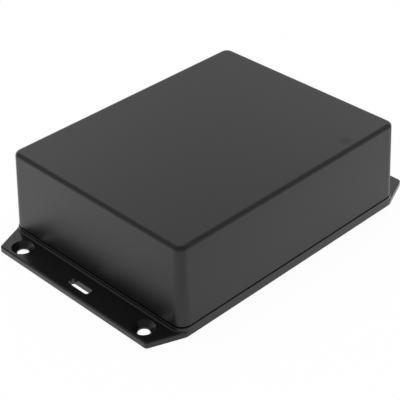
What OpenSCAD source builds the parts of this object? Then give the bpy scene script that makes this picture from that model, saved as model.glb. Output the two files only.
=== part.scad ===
// Plastic project box: a drafted case that opens downwards, closed by a flanged lid.
// The lid's underside is z = 0, the flanges run out along X, and the case stands on the lid.

/* [Case] */
// Length of the case at its open rim
box_l = 119.8; // [90:0.1:180]
// Width of the case at its open rim
box_w = 94; // [70:0.5:140]
// Height of the case from its rim to its closed top
box_h = 33; // [24:0.5:70]
// Draft of the upright walls, in degrees
wall_draft = 2.5; // [0.5:0.1:3]
// Thickness of the upright walls
wall_t = 2.2; // [1.6:0.1:3]
// Thickness of the closed top
top_t = 2.4; // [1.6:0.1:4]
// Radius of the upright corners where they meet the closed top
corner_r = 3.4; // [2.6:0.1:8]
// Radius of the rounded edge around the closed top
edge_r = 1.8; // [0.6:0.1:2.4]
// Radius of the inside edge around the closed top
inner_edge_r = 0.8; // [0.3:0.1:1.5]

/* [Flanged lid] */
// Height of the lid's side, from the ground to the case's rim
lid_h = 4.8; // [4:0.1:8]
// Thickness of the flanges and of the lid inside its rim
flange_t = 2.7; // [2.4:0.1:3.4]
// How far each flange reaches past the case's rim
flange_reach = 11.9; // [10.5:0.1:20]
// Width across a flange's free end
flange_end_w = 83.3; // [60:0.1:92]
// Radius of the flanges' free corners
flange_tip_r = 1.4; // [1.2:0.1:5]
// Radius of the flanges' rounded top edge
flange_edge_r = 0.7; // [0.3:0.1:1.1]
// Radius of the shoulders where the flanges' tapers start
flange_shoulder_r = 3.7; // [2:0.1:4.4]
// How far the raised step stands out past the case's rim at each end
step_out_end = 0.4; // [0:0.1:0.8]
// How far the raised step stands out past the case's rim at each side
step_out_side = 0.1; // [0:0.1:0.4]
// Height of the shadow groove under the case's rim
groove_h = 0.6; // [0.2:0.1:1]
// Depth of the shadow groove
groove_d = 0.4; // [0.2:0.1:0.8]

/* [Flange holes] */
// Distance between hole centres along the length
hole_pitch_x = 132.4; // [131.8:0.1:132.8]
// Distance between hole centres across the width
hole_pitch_y = 68.4; // [40:0.1:70]
// Diameter of the mounting holes
hole_d = 4.6; // [3:0.1:5.4]
// Diameter of the countersinks at the flange's top face
sink_d = 8.6; // [7:0.1:8.8]
// Distance between the tie slots' centres along the length
slot_pitch = 133.1; // [130:0.1:135]
// Length of the tie slots, across the width
slot_l = 11; // [6:0.1:20]
// Width of the tie slots
slot_w = 3.2; // [2.5:0.1:5]
// Radius of the tie slots' corners
slot_r = 1; // [0.3:0.1:1.2]

/* [Lid lip] */
// Height of the lip that reaches up inside the case
lip_h = 2; // [1:0.1:4]
// Thickness of the lip
lip_t = 1.2; // [0.8:0.1:1.4]
// Clearance between the lip and the case's walls
lip_play = 0.15; // [0.05:0.05:0.3]

/* [Screw posts and screws] */
// Distance from the case's outer face to each post's axis, at the rim
post_inset = 7.6; // [7.5:0.1:10]
// Radius of the posts at the rim
post_r = 3.6; // [3:0.1:3.7]
// Draft of the posts, in degrees
post_draft = 0.5; // [0.2:0.1:1]
// Thickness of the webs that tie the posts to the walls
web_t = 1.6; // [1:0.1:2.4]
// Depth of the pilot holes in the posts
pilot_depth = 14; // [12:0.5:20]
// Diameter of the screws' core, without the thread
screw_core_d = 2.8; // [2.2:0.1:3.2]
// Diameter of the screws' thread, which the lid's holes clear
screw_thread_d = 3.5; // [3.3:0.1:4]
// Diameter of the screw heads
head_d = 6.4; // [5.6:0.1:7]
// Height of the screw heads' straight edge
head_edge = 0.3; // [0.2:0.1:0.5]
// How deep the screw heads sit below the lid's underside
head_sink = 0.3; // [0.1:0.1:0.6]
// Length of the screws under the head
screw_l = 13; // [10:0.5:16]
// Clearance around the screw heads and in the pilot holes
screw_play = 0.05; // [0.02:0.01:0.15]
// Clearance around the screws in the lid
shank_play = 0.2; // [0.1:0.05:0.4]
// Width of the cross recess in the screw heads
recess_w = 0.8; // [0.5:0.1:1]
// Span of the cross recess
recess_l = 3.6; // [2.5:0.1:4]
// Depth of the cross recess
recess_depth = 1.2; // [0.6:0.1:1.4]

/* [Board guides and standoffs] */
// Distance between neighbouring pairs of guide ribs
guide_pitch = 18; // [12:1:30]
// Width of the slot between the two ribs of a pair
guide_gap = 1.9; // [1.2:0.1:3]
// Thickness of a guide rib
guide_t = 1.2; // [0.8:0.1:2]
// How far the guide ribs stand in from the wall
guide_depth = 1.8; // [1:0.1:3]
// Free length kept between the last pair and a post
guide_room = 4; // [3:0.5:10]
// Distance between standoffs along the length
standoff_pitch_x = 72; // [40:1:76]
// Distance between standoffs across the width
standoff_pitch_y = 50; // [30:1:54]
// Height of the standoffs under the closed top
standoff_h = 5; // [3:0.5:10]
// Radius of the standoffs
standoff_r = 2.7; // [2.2:0.1:3.5]
// Diameter of the holes in the standoffs
standoff_bore_d = 2.4; // [1.6:0.1:3]

/* [Hidden] */
$fn = 96;
hull_fn = 32;         // facets of the rounds that are hulled into the case and the flange plate
edge_steps = 5;       // steps in their rounded edges
slice = 0.01;         // thickness of the slices that the case is hulled from
bury = 0.6;           // how far ribs, webs and lips run into what carries them
over = 1;             // how far a cut runs past the face it opens
flush_step = 0.05;    // how far the flange plate stays inside the raised step's sides
plastic = [0.09, 0.09, 0.1];
lid_plastic = [0.07, 0.07, 0.075];
screw_steel = [0.62, 0.62, 0.6];

slope = tan(wall_draft);
cavity_h = box_h - top_t;
rim_corner_r = corner_r + box_h * slope;
// The cavity keeps the wall's thickness round the corners where the corner is wide enough for it
cavity_corner_r = max(corner_r + top_t * slope - wall_t, inner_edge_r + 0.2);
cavity_rim_r = cavity_corner_r + cavity_h * slope;
step_l = box_l + 2 * step_out_end;
step_w = box_w + 2 * step_out_side;
flange_end_x = box_l / 2 + flange_reach;
// What the case's rim and the lip stand on, all the way round
ledge_w = wall_t + lip_play + lip_t;
post_x = box_l / 2 - post_inset;
post_y = box_w / 2 - post_inset;
rib_foot = lip_h + bury;         // ribs and webs start here, above the rim, to clear the lip
post_spread = tan(post_draft);
post_top_r = post_r + cavity_h * post_spread;
pilot_d = screw_core_d + 2 * screw_play;
shank_hole_d = screw_thread_d + 2 * shank_play;
head_cone_h = (head_d - screw_thread_d) / 2;
sink_depth = (sink_d - hole_d) / 2;
pairs_along = floor((post_x - post_r - guide_room) / guide_pitch);
pairs_across = floor((post_y - post_r - guide_room) / guide_pitch);

// ---- Outlines and shared forms ----

// A rectangle with round corners, drawn from whole squares and circles so that its arcs stay true
module round_rect(l, w, r) {
    square([l, w - 2 * r], center = true);
    square([l - 2 * r, w], center = true);
    for (x = [-1, 1], y = [-1, 1]) {
        translate([x * (l / 2 - r), y * (w / 2 - r)]) circle(r);
    }
}

// A block with drafted walls, round corners and a round top edge; l and w are its size at z = 0
// and top_r is its corner radius at the top
module drafted_block(l, w, h, top_r, e) {
    base_r = top_r + h * slope;
    arc_r = top_r + e * slope - e / cos(wall_draft);
    hull() for (x = [-1, 1], y = [-1, 1]) {
        translate([x * (l / 2 - base_r), y * (w / 2 - base_r), 0]) {
            cylinder(r = base_r, h = slice, $fn = hull_fn);
            for (i = [0 : edge_steps]) {
                turn = wall_draft + i * (90 - wall_draft) / edge_steps;
                translate([0, 0, h - e * (1 - sin(turn)) - slice])
                    cylinder(r = arc_r + e * cos(turn), h = slice, $fn = hull_fn);
            }
        }
    }
}

module at_posts() {
    for (x = [-1, 1], y = [-1, 1]) {
        translate([x * post_x, y * post_y, 0]) children();
    }
}

// ---- Case, built rim down at z = 0 and lifted on to the lid ----

module case_shell() {
    // The cavity's form is carried on past the rim along its own draft, so that it cuts clean
    flare = 2 * (over * slope - wall_t);
    difference() {
        drafted_block(box_l, box_w, box_h, corner_r, edge_r);
        translate([0, 0, -over]) drafted_block(box_l + flare, box_w + flare, cavity_h + over,
            cavity_corner_r, inner_edge_r);
    }
}

module screw_posts() {
    at_posts() cylinder(r1 = post_r, r2 = post_top_r + bury * post_spread, h = cavity_h + bury);
    // Two webs tie each post to its walls; they start above the lid's lip
    for (x = [-1, 1], y = [-1, 1]) {
        web_reach = post_inset - wall_t / 2 - cavity_h * slope;
        translate([x * post_x, y * post_y, rib_foot]) {
            translate([x * web_reach / 2, 0, (cavity_h - rib_foot) / 2])
                cube([web_reach, web_t, cavity_h - rib_foot + bury], center = true);
            translate([0, y * web_reach / 2, (cavity_h - rib_foot) / 2])
                cube([web_t, web_reach, cavity_h - rib_foot + bury], center = true);
        }
    }
}

// Two parallel ribs that hold a board's edge, for a wall whose inner face is at +X = reach
module guide_pair(reach) {
    foot_x = reach - rib_foot * slope;
    head_x = reach - cavity_h * slope;
    for (side = [-1, 1]) {
        translate([0, side * (guide_gap + guide_t) / 2, 0]) rotate([90, 0, 0])
            linear_extrude(guide_t, center = true) polygon([
                [foot_x + bury, rib_foot],
                [foot_x - guide_depth, rib_foot],
                [head_x - guide_depth, cavity_h + bury],
                [head_x + bury, cavity_h + bury]
            ]);
    }
}

module board_guides() {
    for (i = [-pairs_along : pairs_along], turn = [90, 270]) {
        translate([i * guide_pitch, 0, 0]) rotate(turn) guide_pair(box_w / 2 - wall_t);
    }
    for (i = [-pairs_across : pairs_across], turn = [0, 180]) {
        translate([0, i * guide_pitch, 0]) rotate(turn) guide_pair(box_l / 2 - wall_t);
    }
}

module standoffs() {
    for (x = [-1, 1], y = [-1, 1]) {
        translate([x * standoff_pitch_x / 2, y * standoff_pitch_y / 2, cavity_h - standoff_h])
            difference() {
                cylinder(r1 = standoff_r, r2 = standoff_r + standoff_h * post_spread,
                    h = standoff_h + bury);
                translate([0, 0, -over]) cylinder(d = standoff_bore_d, h = standoff_h + over);
            }
    }
}

module box_body() {
    color(plastic) translate([0, 0, lid_h]) difference() {
        union() {
            case_shell();
            screw_posts();
            board_guides();
            standoffs();
        }
        at_posts() translate([0, 0, -over]) cylinder(d = pilot_d, h = pilot_depth + over);
    }
}

// ---- Lid ----

// One rounded corner of the flange plate: its wall, then the steps of its rounded top edge
module plate_puck(r) {
    cylinder(r = r, h = flange_t - flange_edge_r, $fn = hull_fn);
    for (i = [0 : edge_steps]) {
        turn = i * 90 / edge_steps;
        translate([0, 0, flange_t - flange_edge_r])
            cylinder(r = r - flange_edge_r * (1 - cos(turn)), h = flange_edge_r * sin(turn),
                $fn = hull_fn);
    }
}

// The plate runs off the case's corners in a taper to both free ends
module flange_plate() {
    tip_x = flange_end_x - flange_tip_r;
    tip_y = flange_end_w / 2 - flange_tip_r;
    shoulder_x = step_l / 2 - flange_shoulder_r;
    shoulder_y = step_w / 2 - flange_shoulder_r;
    hull() {
        for (x = [-1, 1], y = [-1, 1]) {
            translate([x * shoulder_x, y * shoulder_y, 0])
                plate_puck(flange_shoulder_r - flush_step);
            translate([x * tip_x, y * tip_y, 0]) plate_puck(flange_tip_r);
        }
    }
}

// The raised step under the case, with the shadow groove below the rim
module plinth() {
    linear_extrude(lid_h - groove_h) round_rect(step_l, step_w, rim_corner_r);
    linear_extrude(lid_h)
        round_rect(box_l - 2 * groove_d, box_w - 2 * groove_d, rim_corner_r - groove_d);
}

module lid_lip() {
    play_r = max(cavity_rim_r - lip_play, lip_t + 0.2);
    outer = wall_t + lip_play;
    translate([0, 0, lid_h - bury]) linear_extrude(lip_h + bury) difference() {
        round_rect(box_l - 2 * outer, box_w - 2 * outer, play_r);
        round_rect(box_l - 2 * ledge_w, box_w - 2 * ledge_w, play_r - lip_t);
    }
}

// Solid pads that carry the posts, joined to the ledge in each corner
module post_pads() {
    for (x = [-1, 1], y = [-1, 1]) {
        pad = post_inset - ledge_w + bury;
        translate([x * post_x, y * post_y, flange_t - bury]) {
            cylinder(r = post_r, h = lid_h - flange_t + bury);
            translate([x * pad / 2, y * pad / 2, (lid_h - flange_t + bury) / 2])
                cube([pad, pad, lid_h - flange_t + bury], center = true);
        }
    }
}

module lid_screw_hole() {
    seat_d = head_d + 2 * screw_play;
    seat_h = head_sink + head_edge + screw_play;
    cone_h = (seat_d - shank_hole_d) / 2;
    translate([0, 0, -over]) cylinder(d = seat_d, h = seat_h + over);
    translate([0, 0, seat_h]) cylinder(d1 = seat_d, d2 = shank_hole_d, h = cone_h);
    translate([0, 0, seat_h]) cylinder(d = shank_hole_d, h = lid_h + over);
}

module flange_hole() {
    translate([0, 0, -over]) cylinder(d = hole_d, h = flange_t + 2 * over);
    translate([0, 0, flange_t - sink_depth])
        cylinder(d1 = hole_d, d2 = sink_d + 2 * over, h = sink_depth + over);
}

module tie_slot() {
    translate([0, 0, -over]) linear_extrude(flange_t + 2 * over)
        round_rect(slot_w, slot_l, slot_r);
}

module flanged_lid() {
    color(lid_plastic) difference() {
        union() {
            difference() {
                union() {
                    flange_plate();
                    plinth();
                }
                translate([0, 0, flange_t]) linear_extrude(lid_h)
                    round_rect(box_l - 2 * ledge_w, box_w - 2 * ledge_w, 1);
            }
            lid_lip();
            post_pads();
        }
        at_posts() lid_screw_hole();
        for (x = [-1, 1]) {
            translate([x * slot_pitch / 2, 0, 0]) tie_slot();
            for (y = [-1, 1]) {
                translate([x * hole_pitch_x / 2, y * hole_pitch_y / 2, 0]) flange_hole();
            }
        }
    }
}

// ---- Screws, driven up through the lid into the posts ----

module screw() {
    tip_h = screw_core_d / 2;
    difference() {
        union() {
            cylinder(d = head_d, h = head_edge);
            translate([0, 0, head_edge])
                cylinder(d1 = head_d, d2 = screw_thread_d, h = head_cone_h);
            cylinder(d = screw_core_d, h = screw_l - tip_h);
            translate([0, 0, screw_l - tip_h])
                cylinder(d1 = screw_core_d, d2 = screw_core_d / 5, h = tip_h);
        }
        for (turn = [0, 90]) {
            rotate(turn) rotate([90, 0, 0]) linear_extrude(recess_w, center = true) polygon([
                [-recess_l / 2, -over],
                [recess_l / 2, -over],
                [recess_l / 2, 0],
                [recess_w / 2, recess_depth],
                [-recess_w / 2, recess_depth],
                [-recess_l / 2, 0]
            ]);
        }
    }
}

module lid_screws() {
    color(screw_steel) at_posts() translate([0, 0, head_sink]) screw();
}

box_body();
flanged_lid();
lid_screws();
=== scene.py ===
import math
import bpy
import bmesh
from mathutils import Matrix, Quaternion, Vector


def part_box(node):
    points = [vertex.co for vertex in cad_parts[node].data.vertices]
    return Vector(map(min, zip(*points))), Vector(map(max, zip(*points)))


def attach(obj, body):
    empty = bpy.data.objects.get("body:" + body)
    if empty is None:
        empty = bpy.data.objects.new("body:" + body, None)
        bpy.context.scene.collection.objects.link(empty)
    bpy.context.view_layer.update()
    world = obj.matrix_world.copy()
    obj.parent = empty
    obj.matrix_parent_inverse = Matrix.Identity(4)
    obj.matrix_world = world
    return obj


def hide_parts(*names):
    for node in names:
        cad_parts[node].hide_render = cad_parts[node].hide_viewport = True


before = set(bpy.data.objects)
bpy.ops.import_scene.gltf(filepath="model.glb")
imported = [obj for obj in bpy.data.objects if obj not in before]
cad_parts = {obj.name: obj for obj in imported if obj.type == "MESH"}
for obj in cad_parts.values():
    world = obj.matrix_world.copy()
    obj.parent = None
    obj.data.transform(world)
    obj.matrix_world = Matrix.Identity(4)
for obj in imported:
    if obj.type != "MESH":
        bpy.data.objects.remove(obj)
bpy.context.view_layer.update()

mm = 0.001                      # meshes are shaped in millimetres and made metres when finished
caseLow, caseHigh = [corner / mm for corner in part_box("box_body")]
lidLow, lidHigh = [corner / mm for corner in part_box("flanged_lid")]
quarters = [(1, 1), (-1, 1), (-1, -1), (1, -1)]
print("frame loaded")


cameraSettings = {
    "target": (0.00666, 0.01073, 0.0),
    "azimuth": -44.41,
    "elevation": 34.205,
    "distance": 0.5174,
    "roll": 0.968,
    "lens": 114.18,
}


def makeCamera():
    azimuth = math.radians(cameraSettings["azimuth"])
    elevation = math.radians(cameraSettings["elevation"])
    back = Vector((math.sin(azimuth) * math.cos(elevation),
                   -math.cos(azimuth) * math.cos(elevation),
                   math.sin(elevation)))
    data = bpy.data.cameras.new("camera")
    data.lens = cameraSettings["lens"]
    data.sensor_width = 36
    data.clip_start = 0.01
    camera = bpy.data.objects.new("camera", data)
    bpy.context.scene.collection.objects.link(camera)
    camera.rotation_mode = "QUATERNION"
    camera.location = Vector(cameraSettings["target"]) + back * cameraSettings["distance"]
    roll = Quaternion((0, 0, 1), -math.radians(cameraSettings["roll"]))
    camera.rotation_quaternion = back.to_track_quat("Z", "Y") @ roll
    bpy.context.scene.camera = camera


makeCamera()
print("camera ready")


class Wire:                     # a socket that can stand in a Python sum
    def __init__(self, recipe, socket):
        self.recipe = recipe
        self.socket = socket

    def maths(self, operation, *values):
        return self.recipe.node("ShaderNodeMath", {"operation": operation}, dict(enumerate(values)))

    def __add__(self, other):
        return self.maths("ADD", self, other)

    def __radd__(self, other):
        return self.maths("ADD", other, self)

    def __sub__(self, other):
        return self.maths("SUBTRACT", self, other)

    def __rsub__(self, other):
        return self.maths("SUBTRACT", other, self)

    def __mul__(self, other):
        return self.maths("MULTIPLY", self, other)

    def __rmul__(self, other):
        return self.maths("MULTIPLY", other, self)


class Recipe:                   # the node tree of one material, or of the world
    def __init__(self, owner):
        owner.use_nodes = True
        self.tree = owner.node_tree
        self.tree.nodes.clear()

    def node(self, kind, settings=None, sockets=None, output=0):
        made = self.tree.nodes.new(kind)
        for name, value in (settings or {}).items():
            setattr(made, name, value)
        for name, value in (sockets or {}).items():
            if isinstance(value, Wire):
                self.tree.links.new(value.socket, made.inputs[name])
            else:
                made.inputs[name].default_value = value
        return Wire(self, made.outputs[output]) if made.outputs else None

    def place(self):            # the piece's own coordinates, in metres
        return self.node("ShaderNodeTexCoord", output="Object")

    def noise(self, size, detail=2.0):      # size is the width of a blotch, in millimetres
        sockets = {"Vector": self.place(), "Scale": 1 / (size * mm), "Detail": detail}
        return self.node("ShaderNodeTexNoise", None, sockets)

    def step(self, value, start, end, low=0.0, high=1.0):
        sockets = {"Value": value, "From Min": start, "From Max": end, "To Min": low, "To Max": high}
        return self.node("ShaderNodeMapRange", {"interpolation_type": "SMOOTHSTEP"}, sockets)

    def near(self, spot, inner, outer):     # 1 within inner millimetres of a spot and 0 past outer
        sockets = {0: self.place(), 1: [value * mm for value in spot]}
        away = self.node("ShaderNodeVectorMath", {"operation": "DISTANCE"}, sockets, "Value")
        return self.step(away, inner * mm, outer * mm, 1.0, 0.0)

    def along(self, where, way):            # how far where lies along way
        return self.node("ShaderNodeVectorMath", {"operation": "DOT_PRODUCT"}, {0: where, 1: way}, "Value")

    def tint(self, mask, first, second):
        return self.node("ShaderNodeMix", {"data_type": "RGBA"}, {0: mask, 6: first, 7: second}, 2)

    def bump(self, height, depth):          # depth is in millimetres
        return self.node("ShaderNodeBump", None, {"Height": height, "Distance": depth * mm})

    def finish(self, shader, kind="ShaderNodeOutputMaterial"):
        self.node(kind, None, {"Surface": shader})


plasticLook = {
    "iorMoulded": 1.57,
    "caseDark": (0.0062, 0.0062, 0.0064, 1),
    "caseLight": (0.0082, 0.0082, 0.0084, 1),
    "caseRoughness": 0.38,
    "caseGrain": 0.32,          # width of a grain of the spark-eroded texture
    "caseGrainDepth": 0.006,
    "lidDark": (0.0050, 0.0050, 0.0052, 1),
    "lidLight": (0.0064, 0.0064, 0.0066, 1),
    "lidRoughness": 0.20,
    "blotch": 9.0,              # width of the faint cloudiness of moulded plastic
    "sinkSpot": (34.0, -40.5, 37.8),    # a dull spot on the closed top
    "sinkReach": (1.2, 3.4),
    "lidPolish": 1.4,
    "lidPolishDepth": 0.002,
}
steelLook = {
    "dark": (0.50, 0.50, 0.49, 1),
    "light": (0.66, 0.66, 0.63, 1),
    "roughness": 0.3,
    "cloud": 1.6,
    "grain": 0.12,
    "grainDepth": 0.003,
}


def makeCasePlastic():
    look = plasticLook
    material = bpy.data.materials.new("caseTexturedPlastic")
    recipe = Recipe(material)
    cloud = recipe.noise(look["blotch"], 3.0)
    grain = recipe.noise(look["caseGrain"], 2.0)
    fineGrain = recipe.noise(look["caseGrain"] * 0.45, 1.0)
    sink = recipe.near(look["sinkSpot"], *look["sinkReach"])
    rough = look["caseRoughness"] + (cloud - 0.5) * 0.06 + (grain - 0.5) * 0.05 + sink * 0.12
    height = grain * 0.7 + fineGrain * 0.3
    shader = recipe.node("ShaderNodeBsdfPrincipled", None, {
        "Base Color": recipe.tint(cloud, look["caseDark"], look["caseLight"]),
        "Roughness": rough,
        "IOR": look["iorMoulded"],
        "Normal": recipe.bump(height, look["caseGrainDepth"]),
    })
    recipe.finish(shader)
    return material


def makeLidPlastic():
    look = plasticLook
    material = bpy.data.materials.new("lidSatinPlastic")
    recipe = Recipe(material)
    cloud = recipe.noise(look["blotch"], 3.0)
    polish = recipe.noise(look["lidPolish"], 2.0)
    shader = recipe.node("ShaderNodeBsdfPrincipled", None, {
        "Base Color": recipe.tint(cloud, look["lidDark"], look["lidLight"]),
        "Roughness": look["lidRoughness"] + (cloud - 0.5) * 0.05 + (polish - 0.5) * 0.03,
        "IOR": look["iorMoulded"],
        "Normal": recipe.bump(polish, look["lidPolishDepth"]),
    })
    recipe.finish(shader)
    return material


def makeScrewSteel():
    look = steelLook
    material = bpy.data.materials.new("zincPlatedSteel")
    recipe = Recipe(material)
    cloud = recipe.noise(look["cloud"], 3.0)
    grain = recipe.noise(look["grain"], 2.0)
    shader = recipe.node("ShaderNodeBsdfPrincipled", None, {
        "Base Color": recipe.tint(cloud, look["dark"], look["light"]),
        "Metallic": 1.0,
        "Roughness": look["roughness"] + (grain - 0.5) * 0.12 + (cloud - 0.5) * 0.1,
        "Normal": recipe.bump(grain, look["grainDepth"]),
    })
    recipe.finish(shader)
    return material


casePlastic = makeCasePlastic()
lidPlastic = makeLidPlastic()
screwSteel = makeScrewSteel()
for nodeName, material in (("box_body", casePlastic), ("flanged_lid", lidPlastic),
                           ("lid_screws", screwSteel)):
    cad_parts[nodeName].data.materials.clear()
    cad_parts[nodeName].data.materials.append(material)
print("materials ready")


def roundedFace(bm, length, width, radius, height, segments=8):
    # a flat face with round corners that looks up
    known = set(bm.faces)
    corners = bmesh.ops.create_grid(bm, x_segments=1, y_segments=1, size=0.5)["verts"]
    bmesh.ops.scale(bm, vec=(length, width, 1), verts=corners)
    bmesh.ops.translate(bm, vec=(0, 0, height), verts=corners)
    bmesh.ops.bevel(bm, geom=corners, offset=radius, offset_type="OFFSET", segments=segments,
                    profile=0.5, affect="VERTICES", material=-1)
    return [face for face in bm.faces if face not in known][0]


def insetFace(bm, face, inwards, upwards):
    bmesh.ops.inset_region(bm, faces=[face], thickness=inwards, depth=upwards,
                           use_boundary=True, use_even_offset=True)


def roundEdges(bm, edges, radius, segments, turn=90.0):
    reach = radius * math.tan(math.radians(turn) / 2)
    bmesh.ops.bevel(bm, geom=edges, offset=reach, offset_type="OFFSET", segments=segments,
                    profile=0.5, affect="EDGES", material=-1)


def closeBottom(bm):
    openEdges = [edge for edge in bm.edges if edge.is_boundary]
    return bmesh.ops.edgeloop_fill(bm, edges=openEdges)["faces"][0]


def highestFace(bm):
    flat = [face for face in bm.faces if face.normal.z > 0.999]
    return max(flat, key=lambda face: (round(face.calc_center_median().z, 3), face.calc_area()))


def spinProfile(bm, points, centre, steps=32):
    # points are (radius, height) down one side of a turned shape
    spun = []
    for radius, height in points:
        spun.append(bm.verts.new((radius, 0, height)))
    edges = [bm.edges.new(pair) for pair in zip(spun, spun[1:])]
    before = set(bm.verts) - set(spun)
    bmesh.ops.spin(bm, geom=spun + edges, cent=(0, 0, 0), axis=(0, 0, 1), angle=math.radians(360),
                   steps=steps, use_merge=True, use_normal_flip=False, use_duplicate=False)
    made = [vert for vert in bm.verts if vert not in before]
    bmesh.ops.translate(bm, vec=centre, verts=made)
    bmesh.ops.remove_doubles(bm, verts=made, dist=0.0005)


def addBar(bm, size, centre, lean=(0, 0), edge=0.0):
    # a block whose top is moved by lean, so that it follows a drafted wall
    made = bmesh.ops.create_cube(bm, size=1)["verts"]
    bmesh.ops.scale(bm, vec=size, verts=made)
    tops = [vert for vert in made if vert.co.z > 0]
    bmesh.ops.translate(bm, vec=(lean[0], lean[1], 0), verts=tops)
    bmesh.ops.translate(bm, vec=centre, verts=made)
    if edge > 0:
        edges = list({each for vert in made for each in vert.link_edges})
        roundEdges(bm, edges, edge, 2)


def meshObject(bm, name):
    bmesh.ops.remove_doubles(bm, verts=bm.verts, dist=0.0005)
    bmesh.ops.recalc_face_normals(bm, faces=bm.faces)
    mesh = bpy.data.meshes.new(name)
    bm.to_mesh(mesh)
    bm.free()
    made = bpy.data.objects.new(name, mesh)
    bpy.context.scene.collection.objects.link(made)
    return made


def joinMesh(base, operation, helper):
    modifier = base.modifiers.new(operation.lower(), "BOOLEAN")
    modifier.operation = operation
    modifier.solver = "EXACT"
    modifier.use_self = True
    modifier.object = helper
    graph = bpy.context.evaluated_depsgraph_get()
    shaped = bpy.data.meshes.new_from_object(base.evaluated_get(graph))
    base.modifiers.clear()
    base.data = shaped
    bpy.data.objects.remove(helper)


def combine(base, operation, draw):
    # adds or cuts the form that draw makes
    bm = bmesh.new()
    draw(bm)
    joinMesh(base, operation, meshObject(bm, "helper"))


def finishPiece(piece, material, sharpAngle=32.0):
    # metres, smooth rounds with flat faces kept flat, and the finish
    bm = bmesh.new()
    bm.from_mesh(piece.data)
    bmesh.ops.remove_doubles(bm, verts=bm.verts, dist=0.0005)
    bmesh.ops.dissolve_degenerate(bm, edges=bm.edges, dist=0.0002)
    bmesh.ops.scale(bm, vec=(mm, mm, mm), verts=bm.verts)
    bm.to_mesh(piece.data)
    bm.free()
    piece.data.shade_smooth()
    piece.data.set_sharp_from_angle(angle=math.radians(sharpAngle))
    weighted = piece.modifiers.new("evenNormals", "WEIGHTED_NORMAL")
    weighted.keep_sharp = True
    piece.data.materials.clear()
    piece.data.materials.append(material)
    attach(piece, "root")
    return piece


caseSettings = {
    "draft": 2.5,
    "wall": 2.2,
    "top": 2.4,
    "cornerRadius": 3.4,        # at the closed top
    "edgeRadius": 1.8,
    "innerEdgeRadius": 0.8,
    "cornerSegments": 14,
    "edgeSegments": 8,
}
slope = math.tan(math.radians(caseSettings["draft"]))
caseLength, caseWidth, caseHeight = caseHigh - caseLow
rimHeight = caseLow.z
cavityHeight = caseHeight - caseSettings["top"]
rimCornerRadius = caseSettings["cornerRadius"] + caseHeight * slope


def makeCase():
    bm = bmesh.new()
    turn = 90 - caseSettings["draft"]
    top = roundedFace(bm, caseLength, caseWidth, rimCornerRadius, rimHeight, caseSettings["cornerSegments"])
    insetFace(bm, top, caseHeight * slope, caseHeight)
    roundEdges(bm, list(top.edges), caseSettings["edgeRadius"], caseSettings["edgeSegments"], turn)
    cavity = closeBottom(bm)
    bmesh.ops.recalc_face_normals(bm, faces=bm.faces)
    insetFace(bm, cavity, caseSettings["wall"], 0)
    insetFace(bm, cavity, cavityHeight * slope, -cavityHeight)
    roundEdges(bm, list(cavity.edges), caseSettings["innerEdgeRadius"], 3, turn)
    return finishPiece(meshObject(bm, "caseMoulding"), casePlastic)


caseMoulding = makeCase()
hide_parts("box_body")
print("case ready")


insideSettings = {
    "postInset": 7.6,
    "postRadius": 3.6,
    "postDraft": 0.5,
    "webThickness": 1.6,
    "pilotRadius": 1.45,
    "pilotDepth": 14.0,
    "ribFoot": 2.6,             # ribs and webs start this far above the rim
    "guidePitch": 18.0,
    "guideGap": 1.9,
    "guideThickness": 1.2,
    "guideDepth": 1.8,
    "guideCount": (2, 1),       # pairs on each side of the middle, along and across
    "standoffPitch": (72.0, 50.0),
    "standoffHeight": 5.0,
    "standoffRadius": 2.7,
    "standoffBore": 1.2,
    "bury": 0.4,
}
postX = caseLength / 2 - insideSettings["postInset"]
postY = caseWidth / 2 - insideSettings["postInset"]
ceiling = rimHeight + cavityHeight


def makePosts():
    bm = bmesh.new()
    inside = insideSettings
    spread = math.tan(math.radians(inside["postDraft"]))
    tall = cavityHeight + inside["bury"]
    profile = [(0, inside["pilotDepth"] + 0.6), (inside["pilotRadius"], inside["pilotDepth"]),
               (inside["pilotRadius"], 0.25), (inside["pilotRadius"] + 0.25, 0),
               (inside["postRadius"] - 0.2, 0), (inside["postRadius"], 0.2),
               (inside["postRadius"] + tall * spread, tall), (0, tall)]
    webTall = tall - inside["ribFoot"]
    webMiddle = rimHeight + inside["ribFoot"] + webTall / 2
    reach = inside["postInset"] - caseSettings["wall"] / 2 - cavityHeight * slope
    near = inside["postRadius"] * 0.6
    for x, y in quarters:
        spinProfile(bm, profile, (x * postX, y * postY, rimHeight))
        middle = (near + reach) / 2
        addBar(bm, (reach - near, inside["webThickness"], webTall),
               (x * (postX + middle), y * postY, webMiddle))
        addBar(bm, (inside["webThickness"], reach - near, webTall),
               (x * postX, y * (postY + middle), webMiddle))
    return finishPiece(meshObject(bm, "screwPosts"), casePlastic)


def makeGuides():
    bm = bmesh.new()
    inside = insideSettings
    tall = cavityHeight - inside["ribFoot"] + inside["bury"]
    lean = tall * slope
    deep = inside["guideDepth"] + inside["bury"]
    thick = inside["guideThickness"]
    middle = rimHeight + inside["ribFoot"] + tall / 2
    footX = caseLength / 2 - caseSettings["wall"] - inside["ribFoot"] * slope - deep / 2 + inside["bury"]
    footY = caseWidth / 2 - caseSettings["wall"] - inside["ribFoot"] * slope - deep / 2 + inside["bury"]
    along, across = inside["guideCount"]
    for side in (-1, 1):
        for half in (-1, 1):
            shift = half * (inside["guideGap"] + thick) / 2
            for place in range(-along, along + 1):
                addBar(bm, (thick, deep, tall),
                       (place * inside["guidePitch"] + shift, side * footY, middle), (0, -side * lean), 0.2)
            for place in range(-across, across + 1):
                addBar(bm, (deep, thick, tall),
                       (side * footX, place * inside["guidePitch"] + shift, middle), (-side * lean, 0), 0.2)
    return finishPiece(meshObject(bm, "boardGuides"), casePlastic)


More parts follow.
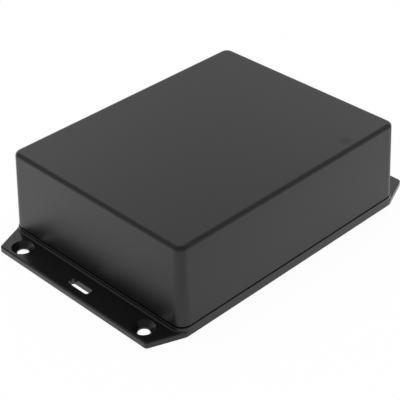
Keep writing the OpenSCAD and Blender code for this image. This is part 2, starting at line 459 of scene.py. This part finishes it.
def makeStandoffs():
    bm = bmesh.new()
    inside = insideSettings
    tall = inside["standoffHeight"] + inside["bury"]
    profile = [(0, inside["standoffHeight"]), (inside["standoffBore"], inside["standoffHeight"]),
               (inside["standoffBore"], 0), (inside["standoffRadius"] - 0.2, 0),
               (inside["standoffRadius"], 0.2), (inside["standoffRadius"], tall), (0, tall)]
    for x, y in quarters:
        spinProfile(bm, profile, (x * inside["standoffPitch"][0] / 2, y * inside["standoffPitch"][1] / 2,
                                  ceiling - inside["standoffHeight"]))
    return finishPiece(meshObject(bm, "boardStandoffs"), casePlastic)


makePosts()
makeGuides()
makeStandoffs()
print("case inside ready")


lidSettings = {
    "flangeThickness": 2.7,
    "flangeEndWidth": 83.3,
    "shoulderRadius": 3.7,
    "tipRadius": 1.4,
    "topEdge": 0.7,
    "bottomEdge": 0.35,
    "edgeSegments": 6,
    "stepOutEnd": 0.4,          # the step stands out this far past the case's rim
    "stepEdge": 0.25,
    "rootFillet": 0.7,          # between the flange and the step
    "grooveHeight": 0.6,
    "grooveDepth": 0.4,
    "lipHeight": 2.0,
    "lipThickness": 1.2,
    "lipPlay": 0.15,
    "holePitch": (132.4, 68.4),
    "holeRadius": 2.3,
    "sinkRadius": 4.3,
    "slotPitch": 133.1,
    "slotSize": (3.2, 11.0),
    "slotRadius": 1.0,
    "cutEdge": 0.2,             # soft edge of the slots and countersinks
}
stepHeight = rimHeight - lidSettings["grooveHeight"]
stepLength = caseLength + 2 * lidSettings["stepOutEnd"]
stepWidth = lidHigh.y - lidLow.y
flangeTop = lidSettings["flangeThickness"]
lidLength = lidHigh.x - lidLow.x
ledge = caseSettings["wall"] + lidSettings["lipPlay"] + lidSettings["lipThickness"]


def drawOutline(bm, shrink):
    # a block's outline, cut along the four tapers that run off the shoulders to the tips
    length, width = lidLength - 2 * shrink, stepWidth - 0.1 - 2 * shrink
    shoulder = lidSettings["shoulderRadius"] - shrink
    tip = max(lidSettings["tipRadius"] - shrink, 0.1)
    tipCentre = Vector((length / 2 - tip, lidSettings["flangeEndWidth"] / 2 - shrink - tip))
    run = tipCentre - Vector((stepLength / 2 - shrink - shoulder, width / 2 - shoulder))
    facing = math.atan2(run.y, run.x) + math.acos((shoulder - tip) / run.length)
    corners = bmesh.ops.create_grid(bm, x_segments=1, y_segments=1, size=0.5)["verts"]
    bmesh.ops.scale(bm, vec=(length, width, 1), verts=corners)
    for x, y in quarters:
        spot = (x * (tipCentre.x + tip * math.cos(facing)), y * (tipCentre.y + tip * math.sin(facing)), 0)
        bmesh.ops.bisect_plane(bm, geom=bm.verts[:] + bm.edges[:] + bm.faces[:], dist=0.0001, plane_co=spot,
                               plane_no=(x * math.cos(facing), y * math.sin(facing), 0), clear_outer=True)
    for axis, reach, radius, turn, segments in ((0, length / 2, tip, facing, 7),
                                                (1, width / 2, shoulder, math.pi / 2 - facing, 5)):
        spots = [vert for vert in bm.verts if abs(vert.co[axis]) > reach - 0.01]
        bmesh.ops.bevel(bm, geom=spots, offset=radius * math.tan(turn / 2), offset_type="OFFSET",
                        segments=segments, profile=0.5, affect="VERTICES", material=-1)
    return bm.faces[:][0]


def drawPlate(bm):
    insetFace(bm, drawOutline(bm, 0), 0, flangeTop)
    closeBottom(bm)
    bmesh.ops.recalc_face_normals(bm, faces=bm.faces)
    topEdges = [edge for edge in bm.edges if all(vert.co.z > flangeTop - 0.01 for vert in edge.verts)]
    roundEdges(bm, topEdges, lidSettings["topEdge"], lidSettings["edgeSegments"])
    lowEdges = [edge for edge in bm.edges if all(vert.co.z < 0.01 for vert in edge.verts)]
    roundEdges(bm, lowEdges, lidSettings["bottomEdge"], 3)


def drawSkirt(bm):
    # a hollow-sided foot round the step, for the fillet along the flanges
    fillet = lidSettings["rootFillet"]
    face = roundedFace(bm, stepLength + 2 * fillet, stepWidth + 2 * fillet, rimCornerRadius + fillet,
                       flangeTop - 0.4, caseSettings["cornerSegments"])
    insetFace(bm, face, 0, 0.4)
    steps = 8
    for place in range(steps):
        first, last = [math.radians(90 * each / steps) for each in (place, place + 1)]
        insetFace(bm, face, fillet * (math.sin(last) - math.sin(first)),
                  fillet * (math.cos(first) - math.cos(last)))
    insetFace(bm, face, 0.6, 0)
    insetFace(bm, face, 0, 0.1)
    closeBottom(bm)


def drawSkirtLimit(bm):
    insetFace(bm, drawOutline(bm, 0.3), 0, flangeTop + 5)
    closeBottom(bm)


def drawStep(bm):
    # the raised step that the case stands on
    top = roundedFace(bm, stepLength, stepWidth, rimCornerRadius, 0.4, caseSettings["cornerSegments"])
    insetFace(bm, top, 0, stepHeight - 0.4)
    roundEdges(bm, list(top.edges), lidSettings["stepEdge"], 4)
    closeBottom(bm)


def drawNeck(bm):
    # what shows at the back of the shadow groove
    inwards = 2 * lidSettings["grooveDepth"]
    top = roundedFace(bm, caseLength - inwards, caseWidth - inwards, rimCornerRadius - inwards / 2,
                      stepHeight - 0.5, caseSettings["cornerSegments"])
    insetFace(bm, top, 0, rimHeight - stepHeight + 0.5)
    closeBottom(bm)


def drawRecess(bm):
    face = roundedFace(bm, caseLength - 2 * ledge, caseWidth - 2 * ledge, 1.0, flangeTop)
    insetFace(bm, face, 0, 10)
    closeBottom(bm)


def drawLip(bm):
    play = caseSettings["wall"] + lidSettings["lipPlay"]
    radius = rimCornerRadius - play
    tall = lidSettings["lipHeight"] + 0.4
    outer = roundedFace(bm, caseLength - 2 * play, caseWidth - 2 * play, radius, rimHeight - 0.4)
    insetFace(bm, outer, 0, tall)
    roundEdges(bm, list(outer.edges), 0.2, 2)
    outer = highestFace(bm)
    insetFace(bm, outer, lidSettings["lipThickness"] - 0.2, 0)
    insetFace(bm, outer, 0, -tall)
    bmesh.ops.delete(bm, geom=[outer], context="FACES_ONLY")
    loops = [edge for edge in bm.edges if edge.is_boundary]
    bmesh.ops.bridge_loops(bm, edges=loops)


def drawPads(bm):
    for x, y in quarters:
        size = insideSettings["postInset"] - ledge + 0.6
        tall = rimHeight - flangeTop + 0.6
        spinProfile(bm, [(0, tall), (insideSettings["postRadius"], tall),
                         (insideSettings["postRadius"], 0), (0, 0)],
                    (x * postX, y * postY, flangeTop - 0.6))
        addBar(bm, (size, size, tall),
               (x * (postX + size / 2), y * (postY + size / 2), flangeTop - 0.6 + tall / 2))


def drawCuts(bm):
    lid = lidSettings
    screw = screwSettings
    seat = screw["headRadius"] + 0.05
    seatHeight = screw["sink"] + screw["edge"] + 0.05
    shank = screw["threadRadius"] + 0.2
    screwHole = [(0, 9), (shank, 9), (shank, seatHeight + seat - shank), (seat, seatHeight),
                 (seat, -1), (0, -1)]
    sink, hole, edge = lid["sinkRadius"], lid["holeRadius"], lid["cutEdge"]
    sinkDepth = sink - hole
    flangeHole = [(0, flangeTop + 1), (sink + edge * 0.6, flangeTop + 1), (sink + edge * 0.6, flangeTop),
                  (sink + edge * 0.1, flangeTop - edge * 0.12),
                  (sink - edge * 0.35, flangeTop - edge * 0.45),
                  (hole + 0.06, flangeTop - sinkDepth + 0.02), (hole, flangeTop - sinkDepth - 0.06),
                  (hole, -1), (0, -1)]
    for x, y in quarters:
        spinProfile(bm, screwHole, (x * postX, y * postY, 0), 40)
        spinProfile(bm, flangeHole, (x * lid["holePitch"][0] / 2, y * lid["holePitch"][1] / 2, 0), 56)
    for x in (-1, 1):
        known = set(bm.verts)
        face = roundedFace(bm, lid["slotSize"][0], lid["slotSize"][1], lid["slotRadius"], -1, 6)
        insetFace(bm, face, 0, flangeTop + 1 - edge)
        insetFace(bm, face, -edge * 0.3, edge * 0.7)
        insetFace(bm, face, -edge * 0.7, edge * 0.3)
        insetFace(bm, face, 0, 1)
        closeBottom(bm)
        made = [vert for vert in bm.verts if vert not in known]
        bmesh.ops.translate(bm, vec=(x * lid["slotPitch"] / 2, 0, 0), verts=made)


screwSettings = {
    "headRadius": 3.2,
    "coreRadius": 1.4,
    "threadRadius": 1.75,
    "edge": 0.3,
    "sink": 0.3,
    "length": 13.0,
    "threadPitch": 1.3,
    "recessWidth": 0.8,
    "recessSpan": 3.6,
    "recessDepth": 1.2,
}


def makeLid():
    plate = bmesh.new()
    drawPlate(plate)
    lid = meshObject(plate, "lidMoulding")
    foot = bmesh.new()
    drawSkirt(foot)
    skirt = meshObject(foot, "skirt")
    combine(skirt, "INTERSECT", drawSkirtLimit)
    combine(lid, "UNION", drawStep)
    joinMesh(lid, "UNION", skirt)
    for operation, draw in (("UNION", drawNeck), ("DIFFERENCE", drawRecess), ("UNION", drawLip),
                            ("UNION", drawPads), ("DIFFERENCE", drawCuts)):
        combine(lid, operation, draw)
    return finishPiece(lid, lidPlastic)


lidMoulding = makeLid()
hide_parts("flanged_lid")
print("lid ready")


def drawScrew(bm):
    screw = screwSettings
    cone = screw["headRadius"] - screw["threadRadius"]
    tip = screw["coreRadius"]
    length = screw["length"]
    profile = [(0, 0), (screw["headRadius"] - 0.12, 0), (screw["headRadius"], 0.12),
               (screw["headRadius"], screw["edge"]), (screw["threadRadius"], screw["edge"] + cone),
               (screw["coreRadius"], screw["edge"] + cone + 0.25), (screw["coreRadius"], length - tip),
               (0.28, length), (0, length)]
    spinProfile(bm, profile, (0, 0, 0), 40)


def drawRecessCross(bm):
    screw = screwSettings
    for turn in (0, 90):
        made = bmesh.ops.create_cube(bm, size=1)["verts"]
        size = (screw["recessSpan"], screw["recessWidth"], screw["recessDepth"] + 1)
        bmesh.ops.scale(bm, vec=size, verts=made)
        bmesh.ops.translate(bm, vec=(0, 0, (screw["recessDepth"] - 1) / 2), verts=made)
        tops = [vert for vert in made if vert.co.z > 0]
        bmesh.ops.scale(bm, vec=(screw["recessWidth"] / screw["recessSpan"] * 1.2, 1, 1), verts=tops)
        bmesh.ops.rotate(bm, cent=(0, 0, 0), matrix=Matrix.Rotation(math.radians(turn), 3, "Z"), verts=made)


def makeScrews():
    single = bmesh.new()
    drawScrew(single)
    pattern = meshObject(single, "screwPattern")
    combine(pattern, "DIFFERENCE", drawRecessCross)
    bm = bmesh.new()
    for x, y in quarters:
        known = set(bm.verts)
        bm.from_mesh(pattern.data)
        made = [vert for vert in bm.verts if vert not in known]
        bmesh.ops.translate(bm, vec=(x * postX, y * postY, screwSettings["sink"]), verts=made)
    bpy.data.objects.remove(pattern)
    return finishPiece(meshObject(bm, "lidScrews"), screwSteel)


lidScrews = makeScrews()
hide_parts("lid_screws")
print("screws ready")


studioSettings = {
    "floorSize": 3.0,
    "floorColour": (0.82, 0.82, 0.82, 1),
    "cameraShare": 0.95,         # plain white in what the camera sees of the floor; the rest is lit
    "glossShare": 0.6,
    "paintedFloorLightWay": (0.45, 0.893, 0.0),      # painted light and shade on the floor, seen only in gloss: it gets lighter this way
    "paintedFloorLightFrom": (-0.14, 0.67),     # a distance that way, and the level there
    "paintedFloorLightTo": (0.05, 1.11),
    "paintedLightPool": (-115.0, 120.0, 0.0),     # and a painted pool of light is brightest round here
    "paintedPoolReach": (30.0, 125.0),
    "paintedPoolGain": 0.07,
    "skyUphill": (0.70, 0.714, 0.0),
    "skyBase": 0.18,
    "skyLow": 0.2,             # added low down
    "skyBand": (0.42, 0.68),    # heights between which the sky darkens
    "skyFar": 0.14,             # added beyond the object
    "skyFarBand": (-0.3, 0.55),
    # two soft bright places low behind: which way they lie, and how much each adds
    "windows": ((0.317, 0.871, 0.375, 0.77), (0.865, 0.332, 0.375, 0.62)),
    "windowEdge": (0.91, 0.98),
    "overheadPower": 9.0,
    "overheadSize": 0.8,
    "overheadHeight": 0.95,     # this lamp fills the shade and isn't seen in gloss
}


def makeFloor():
    studio = studioSettings
    bm = bmesh.new()
    bmesh.ops.create_grid(bm, x_segments=1, y_segments=1, size=studio["floorSize"])
    mesh = bpy.data.meshes.new("floor")
    bm.to_mesh(mesh)
    bm.free()
    floor = bpy.data.objects.new("floor", mesh)
    bpy.context.scene.collection.objects.link(floor)
    material = bpy.data.materials.new("paleFloor")
    recipe = Recipe(material)
    (start, low), (end, high) = studio["paintedFloorLightFrom"], studio["paintedFloorLightTo"]
    # painted light and shade on the floor as seen in gloss: graded one way, plus a painted pool of light
    level = recipe.step(recipe.along(recipe.place(), studio["paintedFloorLightWay"]), start, end, low, high)
    level = level + recipe.near(studio["paintedLightPool"], *studio["paintedPoolReach"]) * studio["paintedPoolGain"]
    plain = recipe.node("ShaderNodeBsdfDiffuse", None, {"Color": studio["floorColour"]})
    white = recipe.node("ShaderNodeEmission", None, {"Color": (1, 1, 1, 1), "Strength": 1.0})
    # the painted light and shade glows in what gloss sees of the floor
    paintedLightGlow = recipe.node("ShaderNodeEmission", None, {"Color": (1, 1, 1, 1), "Strength": level})
    seenByCamera = recipe.node("ShaderNodeLightPath", output="Is Camera Ray")
    seenInGloss = recipe.node("ShaderNodeLightPath", output="Is Glossy Ray")
    seenThrough = recipe.node("ShaderNodeLightPath", output="Is Transmission Ray")
    inGloss = seenInGloss * studio["glossShare"]
    glossy = recipe.node("ShaderNodeMixShader", None, {0: inGloss, 1: plain, 2: paintedLightGlow})
    direct = (seenByCamera + seenThrough) * studio["cameraShare"]
    mixed = recipe.node("ShaderNodeMixShader", None, {0: direct, 1: glossy, 2: white})
    recipe.finish(mixed)
    floor.data.materials.append(material)


def makeWorld():
    studio = studioSettings
    world = bpy.data.worlds.new("world")
    bpy.context.scene.world = world
    recipe = Recipe(world)
    way = recipe.node("ShaderNodeTexCoord", output="Generated")
    height = recipe.node("ShaderNodeSeparateXYZ", None, {0: way}, "Z")
    level = studio["skyBase"] + recipe.step(height, *studio["skyBand"], studio["skyLow"], 0.0)
    level = level + recipe.step(recipe.along(way, studio["skyUphill"]), *studio["skyFarBand"],
                                0.0, studio["skyFar"])
    for x, y, z, gain in studio["windows"]:
        level = level + recipe.step(recipe.along(way, (x, y, z)), *studio["windowEdge"]) * gain
    seenByCamera = recipe.node("ShaderNodeLightPath", output="Is Camera Ray")
    strength = seenByCamera + (1 - seenByCamera) * level
    sky = recipe.node("ShaderNodeBackground", None, {"Color": (1, 1, 1, 1), "Strength": strength})
    recipe.finish(sky, "ShaderNodeOutputWorld")


def makeOverhead():
    studio = studioSettings
    data = bpy.data.lights.new("overhead", "AREA")
    data.shape = "SQUARE"
    data.size = studio["overheadSize"]
    data.energy = studio["overheadPower"]
    lamp = bpy.data.objects.new("overhead", data)
    lamp.location = (0, 0, studio["overheadHeight"])
    lamp.visible_glossy = False
    bpy.context.scene.collection.objects.link(lamp)


makeFloor()
makeWorld()
makeOverhead()
bpy.context.scene.view_settings.view_transform = "Standard"
print("stage ready")
